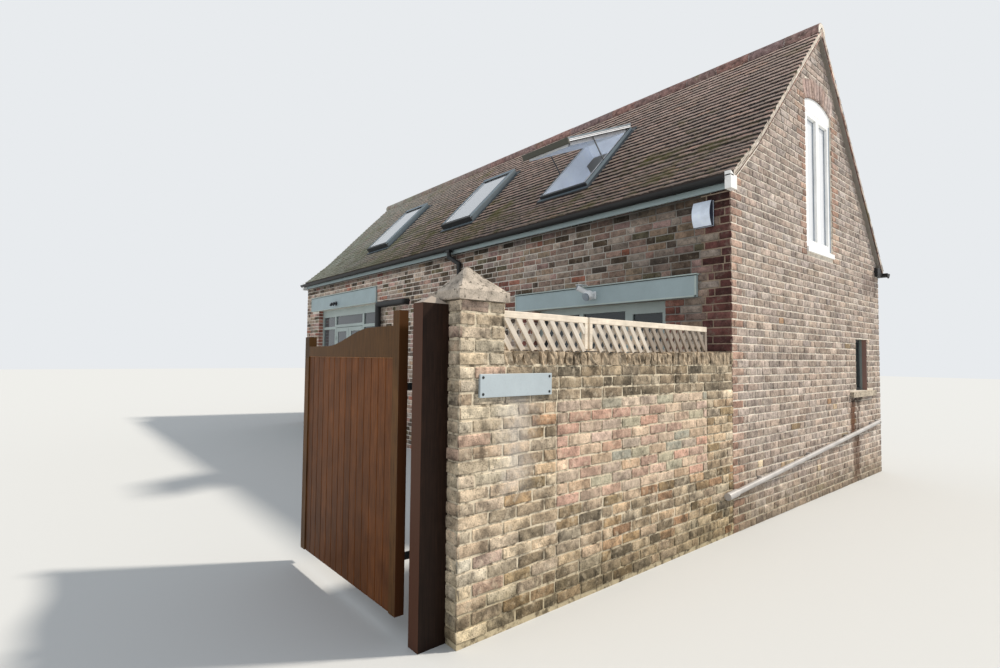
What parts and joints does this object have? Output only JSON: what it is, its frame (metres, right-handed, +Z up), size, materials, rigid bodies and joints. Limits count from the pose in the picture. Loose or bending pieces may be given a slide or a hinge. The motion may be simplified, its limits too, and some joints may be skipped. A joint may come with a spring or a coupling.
{
  "type": "brick oast house outbuilding with yard wall and gate",
  "caption": "Long gabled brick outbuilding with a tiled roof, three rooflights and glazed doors, with a yard wall, pier, trellis and boarded gate at one corner.",
  "frame": {"origin": "centre of the house footprint, on the underside of the floor slab at ground level", "axes": "+X along the long front towards the gable with the yard wall, +Y from the front to the back, +Z up"},
  "size_m": [10.9, 7.886, 5.784],
  "materials": {
    "black_metal": "satin",
    "black_plastic": "satin",
    "brick": "weathered stock brick with lime mortar",
    "cap_stone": "rough, lichen",
    "concrete": "rough",
    "dark_paint": "worn paint",
    "flashing": "satin grey",
    "floor_boards": "bare boards",
    "front_brick": "weathered mixed red and brown brick",
    "gate_wood": "brown stain",
    "glass": "clear",
    "green_grey_paint": "satin paint",
    "grey_plastic": "weathered",
    "mortar": "rough",
    "pale_green_paint": "satin paint",
    "plate": "satin",
    "post_wood": "dark stain",
    "red_brick": "red brick arch",
    "roof_tile": "weathered clay, mossy",
    "sill_stone": "rough",
    "trellis_wood": "weathered",
    "white_metal": "satin",
    "white_paint": "satin paint",
    "white_plastic": "gloss"
  },
  "bodies": {
    "house": {"floor_slab": "concrete", "wall_front_left": "front_brick", "wall_over_door": "front_brick", "wall_front_mid": "front_brick", "wall_over_window": "front_brick", "wall_under_window": "front_brick", "wall_front_right": "front_brick", "wall_back": "front_brick", "gable_right": "brick", "gable_left": "brick", "floor_upper": "floor_boards", "roof_front": "roof_tile", "roof_back": "roof_tile", "ridge": "roof_tile", "verges": "mortar", "rooflight_1": "flashing", "rooflight_2": "flashing", "rooflight_3": "flashing", "rooflight_glass_1": "glass", "rooflight_glass_2": "glass", "rooflight_glass_3": "glass", "fascia_front": "green_grey_paint", "fascia_back": "green_grey_paint", "gutter_front": "black_plastic", "gutter_back": "black_plastic", "flue": "black_metal", "lintel_door": "green_grey_paint", "lintel_window": "green_grey_paint", "door_frame": "pale_green_paint", "door_frame_glass": "glass", "window_frame": "pale_green_paint", "window_glass": "glass", "window_sill": "sill_stone", "gable_window_right": "white_paint", "gable_window_left": "white_paint", "gable_glass_right": "glass", "gable_glass_left": "glass", "arch_right": "red_brick", "arch_left": "red_brick", "small_window": "dark_paint", "small_window_sill": "sill_stone", "waste_pipe": "grey_plastic", "soil_pipe": "black_plastic", "alarm_box": "white_plastic", "lamps": "white_metal", "yard_wall": "brick", "yard_coping": "brick", "pier": "brick", "pier_cap": "cap_stone", "trellis": "trellis_wood", "name_plate": "plate", "gate_post": "post_wood", "gate_hooks": "black_metal"},
    "gate": {"gate_frame": "gate_wood", "gate_boards": "gate_wood", "gate_straps": "black_metal"},
    "left_door": {"door_leaf_left": "pale_green_paint", "door_glass_left": "glass"},
    "right_door": {"door_leaf_right": "pale_green_paint", "door_glass_right": "glass"}
  },
  "joints": [
    {"name": "gate_swing", "type": "hinge", "parent": "house", "child": "gate", "pos_m": [5.085, -5.425, 1], "axis": [0, 0, 1], "range_deg": [0, 90]},
    {"name": "left_door_swing", "type": "hinge", "parent": "house", "child": "left_door", "pos_m": [-3.835, -2.123, 1.176], "axis": [0, 0, -1], "range_deg": [0, 90]},
    {"name": "right_door_swing", "type": "hinge", "parent": "house", "child": "right_door", "pos_m": [-2.545, -2.123, 1.176], "axis": [0, 0, 1], "range_deg": [0, 90]}
  ]
}
